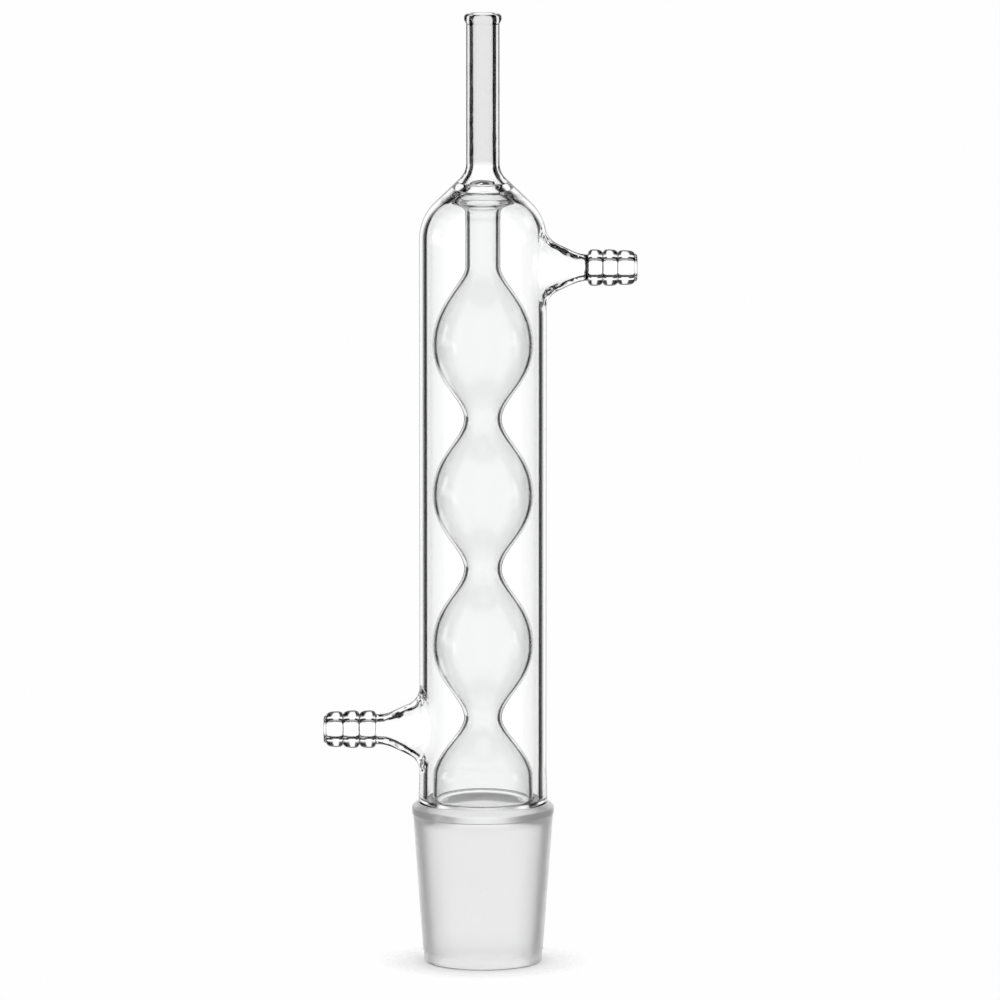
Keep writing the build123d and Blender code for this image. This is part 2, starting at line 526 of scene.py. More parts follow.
@dataclass(frozen=True)
class WaterJacket:
    """The straight jacket and its dome."""

    floor: float
    shoulder_top: float
    bulb_radius: float
    seal_radius: float
    seal_top: float
    water_gap: float = 1.63
    wall: float = 1.65
    foot_swell: float = 0.25
    foot_height: float = 9.0
    dome_lean: float = 46.0
    dome_underlean: float = 53.0
    dome_round: float = 12.5
    ring_diameter: float = 12.0
    ring_gap: float = 0.6

    @property
    def lean(self) -> float:
        """The dome's outer slope from the vertical, in radians."""
        return math.radians(self.dome_lean)

    @property
    def under(self) -> float:
        """The slope of its underside from the vertical, in radians."""
        return math.radians(self.dome_underlean)

    @property
    def inner_round(self) -> float:
        """Radius with which the inside turns into the dome."""
        return self.dome_round - self.wall

    @property
    def water_radius(self) -> float:
        """Inner radius."""
        return self.bulb_radius + self.water_gap

    @property
    def radius(self) -> float:
        """Outer radius."""
        return self.water_radius + self.wall

    @property
    def foot_radius(self) -> float:
        """Outer radius just above the shoulder."""
        return self.radius + self.foot_swell

    def slope_height(self, radius: float) -> float:
        """Height of the dome's straight outer slope at a radius.

        Args:
            radius: Distance from the axis.

        Returns:
            The height.
        """
        passing = self.seal_radius + self.wall * math.cos(self.lean)
        height = self.seal_top + self.wall * math.sin(self.lean)
        return height + (passing - radius) / math.tan(self.lean)

    @property
    def dome_bottom(self) -> float:
        """Height at which the jacket starts to turn in."""
        turned = self.radius - self.dome_round * (1 - math.cos(self.lean))
        return self.slope_height(turned) - self.dome_round * math.sin(self.lean)

    def _turned_in(self, radius: float, bend: float, height: float) -> float:
        """Radius of a wall that turns in above the dome's bottom."""
        rise = max(0.0, height - self.dome_bottom)
        return radius - bend + math.sqrt(bend * bend - rise * rise)

    def outside(self, height: float) -> float:
        """Outer radius at a height below the dome's slope."""
        foot = max(0.0, 1 - (height - self.shoulder_top) / self.foot_height)
        return self._turned_in(self.radius, self.dome_round, height) + self.foot_swell * foot

    def inside(self, height: float) -> float:
        """Inner radius at a height below the dome's slope."""
        return self._turned_in(self.water_radius, self.inner_round, height)

    def ring(self) -> list[Corner]:
        """Corners of the water's narrow end, beside the ring that joins the flared top to the dome.

        Returns:
            The corners, highest first.
        """
        radius = self.ring_diameter / 2
        turned = self.water_radius - self.inner_round * (1 - math.cos(self.under))
        height = self.dome_bottom + self.inner_round * math.sin(self.under)
        height += (turned - radius) / math.tan(self.under)
        return [
            Corner(radius, height, round=0.15),
            Corner(radius, height - self.ring_gap, round=0.2),
        ]

    def line(self, wall: Wall, bend: float, lean: float, arm_heights: list[float]) -> list[Point]:
        """A wall's outline from above the shoulder to the end of the dome's turn.

        Args:
            wall: Radius of that wall at a height.
            bend: Radius of its turn into the dome.
            lean: Its slope from the vertical after that turn, in radians.
            arm_heights: Heights of the arms' axes, lowest first.

        Returns:
            Its points, lowest first, with the rows that each arm's patch needs.
        """
        rows = []
        for axis in arm_heights:
            rows += [axis + number * ROW_GAP for number in range(-HALF_BLOCK, HALF_BLOCK + 1)]
        end = self.dome_bottom + bend * math.sin(lean)
        count = 5
        last = rows[-1]
        rows += [last + (end - last) * number / count for number in range(1, count + 1)]
        points = [(wall(height), height) for height in rows]
        beyond = 0.5
        radius, height = points[-1]
        points.append((radius - beyond * math.sin(lean), height + beyond * math.cos(lean)))
        return points


@dataclass(frozen=True)
class VentTube:
    """The open tube drawn up from the jacket's dome, and its rim bead."""

    jacket: WaterJacket
    top: float
    diameter: float = 8.24
    bore_diameter: float = 5.4
    flare: float = 5.0
    bore_drop: float = 0.4
    mouth_diameter: float = 10.8
    mouth_round: float = 0.2
    bead_height: float = 2.5
    bead_swell: float = 0.52
    bead_round: float = 0.9

    @property
    def radius(self) -> float:
        """Outer radius of the tube."""
        return self.diameter / 2

    @property
    def bore_radius(self) -> float:
        """Radius of its bore."""
        return self.bore_diameter / 2

    @property
    def meeting_height(self) -> float:
        """Height at which the dome's slope would meet the tube."""
        return self.jacket.slope_height(self.radius)

    @property
    def bottom(self) -> float:
        """Height at which the tube turns straight."""
        return self.meeting_height + self.flare * math.tan(self.jacket.lean / 2)

    @property
    def bend(self) -> float:
        """Radius of the bore's bend, one wall outside that of the tube."""
        return self.flare + self.radius - self.bore_radius

    @property
    def mouth_height(self) -> float:
        """The height of the widest line of the bore's flare, above the ring seal.

        Returns:
            The height.
        """
        lean = self.jacket.lean
        turned = self.bore_radius + self.bend * (1 - math.cos(lean))
        fall = self.bore_drop + self.bend * math.sin(lean)
        fall += (self.mouth_diameter / 2 - turned) / math.tan(lean)
        return self.bottom - fall

    def outside(self) -> list[Corner]:
        """Corners of the outside, from the dome up to the rim.

        Returns:
            The corners, lowest first.
        """
        bead = self.radius + self.bead_swell
        foot = self.top - self.bead_height
        return [
            Corner(self.radius, self.meeting_height, self.flare),
            Corner(self.radius, foot, round=0.7),
            Corner(bead, foot + self.bead_round, self.bead_round),
            Corner(bead, self.top, self.bead_round),
        ]

    def bore(self) -> list[Corner]:
        """Corners of the bore, from the rim down to the mouth above the ring seal.

        Returns:
            The corners, highest first.
        """
        drop = self.bore_drop + self.bend * math.tan(self.jacket.lean / 2)
        return [
            Corner(self.bore_radius, self.top, round=0.4),
            Corner(self.bore_radius, self.bottom - drop, self.bend - self.mouth_round),
            Corner(self.mouth_diameter / 2, self.mouth_height, self.mouth_round),
        ]


@dataclass(frozen=True)
class HoseArm:
    """A horizontal hose arm with its drawn-out root, barbs and bore."""

    jacket: WaterJacket
    name: str
    side: Side
    height: float
    tip: float
    neck_diameter: float
    barb_diameter: float
    barb_pitch: float
    bore_diameter: float = 4.1
    root_angle: float = 25.0
    root_length: float = 10.0
    root_bend: float = 8.0
    root_fillet: float = 4.5
    barb_count: int = 3
    barb_rise: float = 1.5
    groove_diameter: float = 7.3
    barb_fullness: float = 0.05
    flank_points: int = 9
    flank_crowding: float = 1.5  # above 1 the points of a flank crowd towards its foot
    last_barb_drop: float = 0.22
    tip_diameter: float = 6.7
    tip_length: float = 3.3
    tip_round: float = 0.6
    plain_start: float = 19.5
    wall_rows: int = 6  # of faces from the patch's edge to the fillet
    fillet_rows: int = 10
    cone_rows: int = 4

    def crest(self, number: int) -> float:
        """Distance of a barb's crest from the main axis."""
        return self.tip - self.tip_length - (self.barb_count - 1 - number) * self.barb_pitch

    def bend_corner(self, radius: float) -> Corner:
        """The rounded corner between the root's cone and the plain neck, at an outline radius.

        Args:
            radius: The outline's radius along the plain neck.

        Returns:
            The corner.
        """
        bend = self.root_bend + self.neck_diameter / 2 - radius
        reach = bend * math.tan(math.radians(self.root_angle) / 2)
        return Corner(self.jacket.radius + self.root_length - reach, radius, bend)

    def cone_radius(self, radius: float, distance: float) -> float:
        """Radius of the root's cone at a distance from the main axis, for an outline's radius."""
        corner = self.bend_corner(radius)
        return radius + (corner.across - distance) * math.tan(math.radians(self.root_angle))

    def barbs(self) -> list[Corner]:
        """Corners of the barbs, from the plain neck out to the tip.

        Returns:
            The corners.
        """
        neck = self.neck_diameter / 2
        corners = [Corner(self.crest(0) - self.barb_rise, neck, round=0.3)]
        for number in range(self.barb_count):
            last = number == self.barb_count - 1
            low = corners[-1]
            top = self.barb_diameter / 2 - (self.last_barb_drop if last else 0)
            crest = (self.crest(number), top)
            if last:
                foot = Corner(self.tip - self.tip_round, self.tip_diameter / 2)
            else:
                foot = Corner(self.crest(number + 1) - self.barb_rise, self.groove_diameter / 2)
            corners += plain(self._crown(low.place(), crest) + self._crown(foot.place(), crest)[-2::-1])
            corners.append(foot)
        return corners

    def _crown(self, low: Point, crest: Point) -> list[Point]:
        """Points of a barb's flank, from near its foot up to its rounded crest.

        Args:
            low: The flank's foot.
            crest: The barb's crest.

        Returns:
            The points, without the foot itself.
        """
        middle = (low[0] + (crest[0] - low[0]) * self.barb_fullness, crest[1])
        handles = [Vector(low), Vector(middle), Vector(crest)]
        count = self.flank_points
        shares = [(number / count) ** self.flank_crowding for number in range(1, count + 1)]
        return [tuple(curve_point(handles, share)) for share in shares]

    def outline(self) -> list[Place]:
        """The plain part's outline, out along the outside and back along the bore.

        Returns:
            The outline's points.
        """
        neck = self.neck_diameter / 2
        bore = self.bore_diameter / 2
        start = self.plain_start
        corners = [Corner(start, self.cone_radius(neck, start)), self.bend_corner(neck)]
        corners += self.barbs()[:-1]
        corners += [
            Corner(self.tip, self.tip_diameter / 2, self.tip_round),
            Corner(self.tip, bore, round=0.35),
            self.bend_corner(bore),
            Corner(start, self.cone_radius(bore, start)),
        ]
        return [(self.side.value * x, 0.0, self.height + radius) for x, radius in soften(corners)]

    def _patch_edge(self, number: int) -> tuple[float, float]:
        """Angle round the main axis and height of a point on the edge of the arm's patch.

        Args:
            number: Which of the lines round the arm meets it.

        Returns:
            The angle and the height.
        """
        side, offset = divmod((number + HALF_BLOCK) % ARM_TURNS, 2 * HALF_BLOCK)
        offset -= HALF_BLOCK
        column, row = [
            (HALF_BLOCK, offset),
            (-offset, HALF_BLOCK),
            (-HALF_BLOCK, -offset),
            (offset, -HALF_BLOCK),
        ][side]
        return math.tau * column / TURNS, self.height + row * ROW_GAP

    def _meeting(self, outward: Vector, radius: float, wall: Wall) -> Vector:
        """The point at which one line of the root's cone meets a wall of the jacket.

        Args:
            outward: Direction of the line from the arm's axis.
            radius: The outline's radius along the plain neck.
            wall: Radius of the wall at a height.

        Returns:
            The point.
        """
        near, far = 2.0, self.jacket.radius + 1  # one inside the wall and one outside it
        halvings = 40
        for _ in range(halvings):
            middle = (near + far) / 2
            spread = self.cone_radius(radius, middle)
            place = Vector((middle, 0, self.height)) + outward * spread
            if math.hypot(place.x, place.y) < wall(place.z):
                near = middle
            else:
                far = middle
        return place

    def _on_wall(self, place: Vector, wall: Wall) -> Vector:
        """The nearest point of the wall at the same height and side distance."""
        reach = wall(place.z)
        return Vector((math.sqrt(reach * reach - place.y * place.y), place.y, place.z))

    def _strand(self, number: int, radius: float, fillet: float, wall: Wall) -> list[Vector]:
        """One line of the root, from the patch's edge over the fillet and along the cone.

        Args:
            number: Which of the lines round the arm.
            radius: The outline's radius along the plain neck.
            fillet: Radius of the fillet between cone and wall.
            wall: Radius of the wall at a height.

        Returns:
            The line's points.
        """
        turn = math.tau * number / ARM_TURNS
        outward = Vector((0, math.cos(turn), math.sin(turn)))
        meeting = self._meeting(outward, radius, wall)
        small = 0.01
        slope = (wall(meeting.z + small) - wall(meeting.z - small)) / (2 * small)
        normal = Vector((meeting.x, meeting.y, -slope * math.hypot(meeting.x, meeting.y)))
        along_wall = (outward - Vector((1, 0, 0)) * (normal.dot(outward) / normal.x)).normalized()
        angle = math.radians(self.root_angle)
        along_cone = Vector((math.cos(angle), 0, 0)) - outward * math.sin(angle)
        bend = (-along_wall).angle(along_cone)
        reach = fillet * math.tan(bend / 2)
        foot = self._on_wall(meeting + along_wall * reach, wall)
        head = meeting + along_cone * reach
        edge_angle, edge_height = self._patch_edge(number)
        foot_angle = math.atan2(foot.y, foot.x)
        points = []
        for step in range(self.wall_rows):
            share = step / self.wall_rows
            around = edge_angle + (foot_angle - edge_angle) * share
            height = edge_height + (foot.z - edge_height) * share
            distance = wall(height)
            points.append(Vector((distance * math.cos(around), distance * math.sin(around), height)))
        pull = 4 / 3 * math.tan(bend / 4) / math.tan(bend / 2)  # makes the curve's middle an arc's
        handles = [foot, foot.lerp(meeting, pull), head.lerp(meeting, pull), head]
        count = self.fillet_rows
        points += [curve_point(handles, step / count) for step in range(count + 1)]
        spread = self.cone_radius(radius, self.plain_start)
        end = Vector((self.plain_start, 0, self.height)) + outward * spread
        count = self.cone_rows
        points += [head.lerp(end, step / count) for step in range(1, count + 1)]
        return points

    def root(self, label: str, radius: float, fillet: float, wall: Wall) -> bpy.types.Object:
        """The skin between a wall of the jacket and the plain part of the arm.

        Blender's operators can't fair a cone into a round wall, so each line of it is worked out.

        Args:
            label: Which skin it is.
            radius: The outline's radius along the plain neck.
            fillet: Radius of the fillet between cone and wall.
            wall: Radius of the wall at a height.

        Returns:
            The skin.
        """
        strands = [self._strand(number, radius, fillet, wall) for number in range(ARM_TURNS)]
        count = len(strands[0])
        side = self.side.value
        places = [(side * place.x, place.y, place.z) for strand in strands for place in strand]
        faces = []
        for number in range(ARM_TURNS):
            here = number * count
            there = (number + 1) % ARM_TURNS * count
            faces += [(here + k, here + k + 1, there + k + 1, there + k) for k in range(count - 1)]
        return new_piece(f"{self.name}_{label}", places, [], faces)

    def build(self) -> list[bpy.types.Object]:
        """The arm's three skins: the plain part, the root outside and the root inside.

        Returns:
            The skins, which meet each other and the edges of the arm's patches.
        """
        skin = spin(f"{self.name}_plain", self.outline(), (0, 0, self.height), (1, 0, 0), ARM_TURNS)
        outer_fillet, inner_fillet = self.root_fillet, self.root_fillet + self.jacket.wall
        outer = self.root("outer_root", self.neck_diameter / 2, outer_fillet, self.jacket.outside)
        inner = self.root("inner_root", self.bore_diameter / 2, inner_fillet, self.jacket.inside)
        return [skin, outer, inner]

    def covers(self, place: Vector) -> bool:
        """Whether a face's middle, in millimetres, lies in one of the patches that the arm replaces.

        Args:
            place: The face's middle.

        Returns:
            Whether it does.
        """
        if abs(place.z - self.height) > HALF_BLOCK * ROW_GAP:
            return False
        edge = math.tau * HALF_BLOCK / TURNS
        around = math.atan2(place.y, place.x * self.side.value)
        low = self.jacket.inside(place.z) - SLACK
        return abs(around) < edge and math.hypot(place.x, place.y) > low


def open_patch(skin: bpy.types.Object, arm: HoseArm) -> None:
    """Deletes the faces of a spun skin that an arm's root takes the place of.

    Args:
        skin: The spun skin.
        arm: The arm.
    """
    mesh = skin.data
    for group in (mesh.vertices, mesh.edges):
        for element in group:
            element.select = False
    for face in mesh.polygons:
        face.select = arm.covers(face.center / MM)
    pick(skin)
    bpy.ops.object.mode_set(mode="EDIT")
    bpy.ops.mesh.select_mode(type="FACE")
    bpy.ops.mesh.delete(type="FACE")
    bpy.ops.mesh.select_mode(type="VERT")
    bpy.ops.object.mode_set(mode="OBJECT")


def maths(tree: bpy.types.NodeTree, operation: str, *values) -> bpy.types.NodeSocket:
    """Adds a Math node to a tree.

    Args:
        tree: The node tree.
        operation: What the node works out.
        values: Its inputs; a number is set, a socket is linked.

    Returns:
        The node's output.
    """
    node = tree.nodes.new("ShaderNodeMath")
    node.operation = operation
    for socket, value in zip(node.inputs, values):
        if isinstance(value, bpy.types.NodeSocket):
            tree.links.new(value, socket)
        else:
            socket.default_value = value
    return node.outputs[0]


def soft_step(
    tree: bpy.types.NodeTree, value: bpy.types.NodeSocket, reach: Point, ends: Point = (0.0, 1.0)
) -> bpy.types.NodeSocket:
    """Adds a Map Range node that goes softly from one number to another.

    Args:
        tree: The node tree.
        value: What the step depends on.
        reach: Where the step starts and ends.
        ends: The numbers before it and after it.

    Returns:
        The node's output.
    """
    node = tree.nodes.new("ShaderNodeMapRange")
    node.interpolation_type = "SMOOTHSTEP"
    for label, number in zip(("From Min", "From Max", "To Min", "To Max"), reach + ends):
        node.inputs[label].default_value = number
    tree.links.new(value, node.inputs["Value"])
    return node.outputs["Result"]


def place_group(tree: bpy.types.NodeTree, group: bpy.types.NodeTree, **inputs) -> bpy.types.ShaderNode:
    """Adds a node that places a group.

    Args:
        tree: The tree that it goes into.
        group: The group.
        inputs: Its inputs, with spaces as underscores; a number is set, a socket is linked.

    Returns:
        The node.
    """
    node = tree.nodes.new("ShaderNodeGroup")
    node.node_tree = group
    for label, value in inputs.items():
        socket = node.inputs[label.replace("_", " ")]
        if isinstance(value, bpy.types.NodeSocket):
            tree.links.new(value, socket)
        else:
            socket.default_value = value
    return node


def attribute(tree: bpy.types.NodeTree, name: str) -> bpy.types.NodeSocket:
    """Adds a node that reads one of the skin's attributes, and gives its output.

    Args:
        tree: The node tree.
        name: The attribute.

    Returns:
        The node's output.
    """
    node = tree.nodes.new("ShaderNodeAttribute")
    node.attribute_name = name
    return node.outputs["Fac"]


def new_group(name: str, inputs: dict[str, float], output: str) -> tuple:
    """A new shader node group with inputs and one output, all numbers.

    Args:
        name: Name of the group.
        inputs: Its inputs and what they are when nothing is linked.
        output: Name of its output.

    Returns:
        The group, the outputs of its input node, and the input of its output node.
    """
    group = bpy.data.node_groups.new(name, "ShaderNodeTree")
    for label, value in inputs.items():
        socket = group.interface.new_socket(label, in_out="INPUT", socket_type="NodeSocketFloat")
        socket.default_value = value
    group.interface.new_socket(output, in_out="OUTPUT", socket_type="NodeSocketFloat")
    given = group.nodes.new("NodeGroupInput")
    result = group.nodes.new("NodeGroupOutput")
    return group, given.outputs, result.inputs[output]


class SurfaceGroup:
    """Shader node groups that more than one finish places."""

    @staticmethod
    def ripple() -> bpy.types.ShaderNodeTree:
        """A height for the faint unevenness of hand-blown glass.

        Returns:
            The node group, with inputs Broad and Fine and an output Height.
        """
        name = "blown_ripple"
        if name in bpy.data.node_groups:
            return bpy.data.node_groups[name]
        group, given, result = new_group(name, {"Broad": 90.0, "Fine": 420.0}, "Height")
        place = group.nodes.new("ShaderNodeTexCoord").outputs["Object"]
        heights = {}
        for label in ("Broad", "Fine"):
            noise = group.nodes.new("ShaderNodeTexNoise")
            noise.inputs["Detail"].default_value = 1.0
            group.links.new(place, noise.inputs["Vector"])
            group.links.new(given[label], noise.inputs["Scale"])
            heights[label] = noise.outputs["Fac"]
        fine_share = 0.15
        height = maths(group, "MULTIPLY_ADD", heights["Fine"], fine_share, heights["Broad"])
        group.links.new(height, result)
        return group

    @staticmethod
    def rim_line() -> bpy.types.ShaderNodeTree:
        """A mask for the dark line painted as shade along a tube that is seen edge on, as wide as its
        rim value says.

        Returns:
            The node group, with inputs Facing and Rim and an output Line.
        """
        name = "rim_line"
        if name in bpy.data.node_groups:
            return bpy.data.node_groups[name]
        group, given, result = new_group(name, {"Facing": 0.0, "Rim": 0.0}, "Line")
        turned = maths(group, "SUBTRACT", 1.0, given["Facing"])
        share = maths(group, "DIVIDE", maths(group, "POWER", turned, 2.0), given["Rim"])
        core = 0.4  # the part of the line that is dark throughout
        group.links.new(soft_step(group, share, (core, 1.0), (1.0, 0.0)), result)
        return group


@dataclass(frozen=True)
class ClearGlass:
    """Flame-polished borosilicate glass, with a dark line painted as shade where a tube is seen edge
    on.
    """

    name: str = "clear_borosilicate"
    tint: tuple = (0.992, 0.995, 0.994, 1.0)
    # painted shade: the colour of the dark line painted where a tube is seen edge on
    edge_shade_colour: tuple = (0.0, 0.0, 0.0, 1.0)
    index: float = 1.473
    ripple_depth: float = 0.004
    wave_depth: float = 0.5
    wave_scale: float = 280.0

    def build(self) -> bpy.types.Material:
        """Makes the material.

        Returns:
            The material.
        """
        material, shader = glass_material(self.name, self.tint, self.index)
        shader.inputs["Roughness"].default_value = 0.0
        tree = material.node_tree
        self._paint_edge_shade(tree, shader)
        ripple = place_group(tree, SurfaceGroup.ripple()).outputs["Height"]
        waves = place_group(tree, SurfaceGroup.ripple(), Broad=self.wave_scale).outputs["Height"]
        depth = maths(tree, "MULTIPLY", attribute(tree, WORKED), self.wave_depth / self.ripple_depth)
        bump = tree.nodes.new("ShaderNodeBump")
        bump.inputs["Strength"].default_value = 1.0
        bump.inputs["Distance"].default_value = self.ripple_depth * MM
        tree.links.new(maths(tree, "MULTIPLY_ADD", waves, depth, ripple), bump.inputs["Height"])
        tree.links.new(bump.outputs["Normal"], shader.inputs["Normal"])
        return material

    def _paint_edge_shade(self, tree: bpy.types.NodeTree, shader: bpy.types.ShaderNode) -> None:
        """Paints shade into the base colour where a tube is seen edge on: a dark line that stands in
        for the dark surroundings seen through the edge.

        Args:
            tree: The material's node tree.
            shader: Its Principled shader.
        """
        weight = tree.nodes.new("ShaderNodeLayerWeight")
        weight.inputs["Blend"].default_value = 0.5
        line = place_group(
            tree, SurfaceGroup.rim_line(), Facing=weight.outputs["Facing"], Rim=attribute(tree, EDGE_SHADE)
        )
        # painted shade: the base colour turns dark along the edge-on line
        colour = tree.nodes.new("ShaderNodeMix")
        colour.data_type = "RGBA"
        colour.inputs["A"].default_value = self.tint
        colour.inputs["B"].default_value = self.edge_shade_colour
        tree.links.new(line.outputs["Line"], colour.inputs["Factor"])
        tree.links.new(colour.outputs["Result"], shader.inputs["Base Color"])


@dataclass(frozen=True)
class GroundGlass:
    """The fine-ground band of the cone."""

    name: str = "ground_band"
    tint: tuple = (0.995, 0.995, 0.995, 1.0)
    index: float = 1.473
    clearness: float = 0.72
    smoothest: float = 0.24
    roughest: float = 0.38
    grain: float = 2600.0
    stretch: Place = (1.0, 1.0, 3.0)

    def build(self) -> bpy.types.Material:
        """Makes the material.

        Returns:
            The material.
        """
        material, shader = glass_material(self.name, self.tint, self.index)
        shader.inputs["Transmission Weight"].default_value = self.clearness
        tree = material.node_tree
        place = tree.nodes.new("ShaderNodeTexCoord")
        stretch = tree.nodes.new("ShaderNodeMapping")
        stretch.inputs["Scale"].default_value = self.stretch
        grain = tree.nodes.new("ShaderNodeTexNoise")
        grain.inputs["Scale"].default_value = self.grain
        grain.inputs["Detail"].default_value = 2.0
        tree.links.new(place.outputs["Object"], stretch.inputs["Vector"])
        tree.links.new(stretch.outputs["Vector"], grain.inputs["Vector"])
        spread = self.roughest - self.smoothest
        rough = maths(tree, "MULTIPLY_ADD", grain.outputs["Fac"], spread, self.smoothest)
        tree.links.new(rough, shader.inputs["Roughness"])
        return material


def glass_material(name: str, tint: tuple, index: float) -> tuple:
    """A new material whose shader is plain glass.

    Args:
        name: Name of the material.
        tint: Colour of what passes through.
        index: Refractive index.

    Returns:
        The material and its Principled shader.
    """
    material = bpy.data.materials.new(name)
    material.use_nodes = True
    shader = material.node_tree.nodes["Principled BSDF"]
    shader.inputs["Base Color"].default_value = tint
    shader.inputs["Metallic"].default_value = 0.0
    shader.inputs["IOR"].default_value = index
    shader.inputs["Transmission Weight"].default_value = 1.0
    return material, shader


@dataclass
class Condenser:
    """The whole glass, one skin over every tube."""

    tips: Point
    top: float
    name: str = "blown_glass"
    outlet_drop: float = 7.1
    inlet_rise: float = 17.4
    # widths of the dark lines painted as shade where the jacket, the arms and the bulb tube are seen
    # edge on
    jacket_edge_shade: float = 0.42
    arm_edge_shade: float = 0.4
    arm_start: float = 0.5  # how far past the jacket's wall the arm's painted shade line takes over
    least_radius: float = 1.0  # a smaller one counts as this where a painted shade line is worked out
    tube_edge_shade: float = 0.46
    bulb_edge_shade_fade: float = 0.024
    flare_share: float = 0.4  # how uneven the glass under the vent is, beside that of the roots
    flare_near: Point = (6.0, 4.5)  # its height above the seal, and over how far it fades
    root_near: Point = (12.5, 3.0)  # where a root's uneven glass starts, and over how far it fades in
    root_far: Point = (7.5, 4.0)  # how far past the plain part's start it ends, and its fade
    root_wide: Point = (11.0, 3.5)  # how far round the arm it reaches, and over how far it fades
    # painted shade: darker copies of the clear glass for the vent tube and the bulbs
    vent_shade_tint: tuple = (0.84, 0.84, 0.845, 1.0)
    bulb_shade_tint: tuple = (0.94, 0.94, 0.943, 1.0)
    joint: GroundJoint = field(default_factory=GroundJoint)

    def __post_init__(self) -> None:
        """Works out each sub-assembly from the ones below it and from the frame's box."""
        self.tube = BulbTube(foot=self.joint.water_floor)
        self.seal = RingSeal(self.tube.neck_radius, self.tube.neck_top, self.tube.wall)
        self.jacket = WaterJacket(
            floor=self.joint.water_floor,
            shoulder_top=self.joint.shoulder_top,
            bulb_radius=self.tube.radius,
            seal_radius=self.seal.radius,
            seal_top=self.seal.top,
        )
        self.vent = VentTube(self.jacket, self.top)
        self.arms = [
            HoseArm(
                self.jacket,
                name="inlet",
                side=Side.LEFT,
                height=self.joint.water_floor + self.inlet_rise,
                tip=self.tips[0],
                neck_diameter=7.5,
                barb_diameter=9.4,
                barb_pitch=4.05,
            ),
            HoseArm(
                self.jacket,
                name="outlet",
                side=Side.RIGHT,
                height=self.jacket.dome_bottom - self.outlet_drop,
                tip=self.tips[1],
                neck_diameter=6.5,
                barb_diameter=9.1,
                barb_pitch=3.7,
            ),
        ]

    def outer_outline(self) -> list[Point]:
        """The closed outline of the outside and of the vapour's way.

        Returns:
            Its points.
        """
        jacket = self.jacket
        heights = [arm.height for arm in self.arms]
        start = self.joint.ring_middle()
        corners = [start] + self.joint.outside(jacket.foot_radius)
        corners += plain(jacket.line(jacket.outside, jacket.dome_round, jacket.lean, heights))
        corners += self.vent.outside() + self.vent.bore()
        corners += self.seal.chamber(self.vent.mouth_height)
        corners += plain(self.tube.line(self.tube.wall)[::-1])
        corners += self.joint.bore(self.tube.radius - self.tube.wall)
        return soften(corners + [start])

    def water_outline(self) -> list[Point]:
        """The closed outline of the space for the water.

        Returns:
            Its points.
        """
        jacket = self.jacket
        heights = [arm.height for arm in self.arms]
        start = Corner((jacket.water_radius + self.tube.radius) / 2, jacket.floor)
        corners = [start, Corner(jacket.water_radius, jacket.floor, round=0.6)]
        corners += plain(jacket.line(jacket.inside, jacket.inner_round, jacket.under, heights))
        corners += jacket.ring() + self.seal.side()
        corners += plain(self.tube.line(0)[::-1])
        corners += [Corner(self.tube.radius, jacket.floor, round=0.5), start]
        return soften(corners)

    def build(self) -> bpy.types.Object:
        """Spins the tubes, opens the patches for the arms and joins the arms on.

        Returns:
            The finished skin of glass.
        """
        outlines = {"outside": self.outer_outline(), "water_space": self.water_outline()}
        skins = []
        for name, points in outlines.items():
            places = [(radius, 0.0, height) for radius, height in points]
            skins.append(spin(name, places, (0, 0, 0), (0, 0, 1), TURNS))
        for skin in skins:
            for arm in self.arms:
                open_patch(skin, arm)
        for arm in self.arms:
            skins += arm.build()
        glass = skins[0]
        deselect_all()
        for skin in skins:
            skin.select_set(True)
        bpy.context.view_layer.objects.active = glass
        bpy.ops.object.join()
        glass.name = self.name
        merge_and_face_out(glass)
        bpy.ops.object.shade_smooth()
        return glass

    def _worked_at(self, place: Vector) -> float:
        """How unevenly the flame has left the glass at a point in millimetres, from 0 to 1.

        Args:
            place: The point.

        Returns:
            The share.
        """
        rise, fade = self.flare_near
        flare = max(0.0, 1 - abs(place.z - self.seal.top - rise) / fade)
        share = self.flare_share * flare if math.hypot(place.x, place.y) < self.seal.radius else 0.0
        for arm in self.arms:
            along = place.x * arm.side.value
            around = math.hypot(place.y, place.z - arm.height)
            end = arm.plain_start + self.root_far[0]
            ramps = (
                (along - self.root_near[0]) / self.root_near[1],
                (end - along) / self.root_far[1],
                (self.root_wide[0] - around) / self.root_wide[1],
            )
            share = max(share, math.prod(min(1.0, max(0.0, ramp)) for ramp in ramps))
        return share

    def _edge_shade_at(self, place: Vector) -> float:
        """The rim value of a point in millimetres: twice the width of its painted shade line over its
        radius.

        Args:
            place: The point.

        Returns:
            The value.
        """
        radius = math.hypot(place.x, place.y)
        width = self.jacket_edge_shade
        if self._on_bulb_tube(place):
            width = self.tube_edge_shade - self.bulb_edge_shade_fade * radius
        for arm in self.arms:
            if place.x * arm.side.value > self.jacket.radius + self.arm_start:
                radius = math.hypot(place.y, place.z - arm.height)
                width = self.arm_edge_shade
        return 2 * width / max(radius, self.least_radius)

    def _on_bulb_tube(self, place: Vector) -> bool:
        """Whether a point in millimetres lies on the bulb tube, inside or outside."""
        inside = math.hypot(place.x, place.y) < self.tube.radius + SLACK
        return inside and self.jacket.floor < place.z < self.seal.bottom

    def _finish_at(self, middle: Vector, normal: Vector) -> Finish:
        """The finish of a face.

        Args:
            middle: The face's middle, in millimetres.
            normal: Its direction.

        Returns:
            The finish.
        """
        outward = normal.x * middle.x + normal.y * middle.y > 0
        if middle.z < self.joint.shoulder_top and outward:
            return Finish.GROUND
        if middle.z > self.vent.bottom:
            return Finish.VENT
        return Finish.BULB if self._on_bulb_tube(middle) else Finish.CLEAR

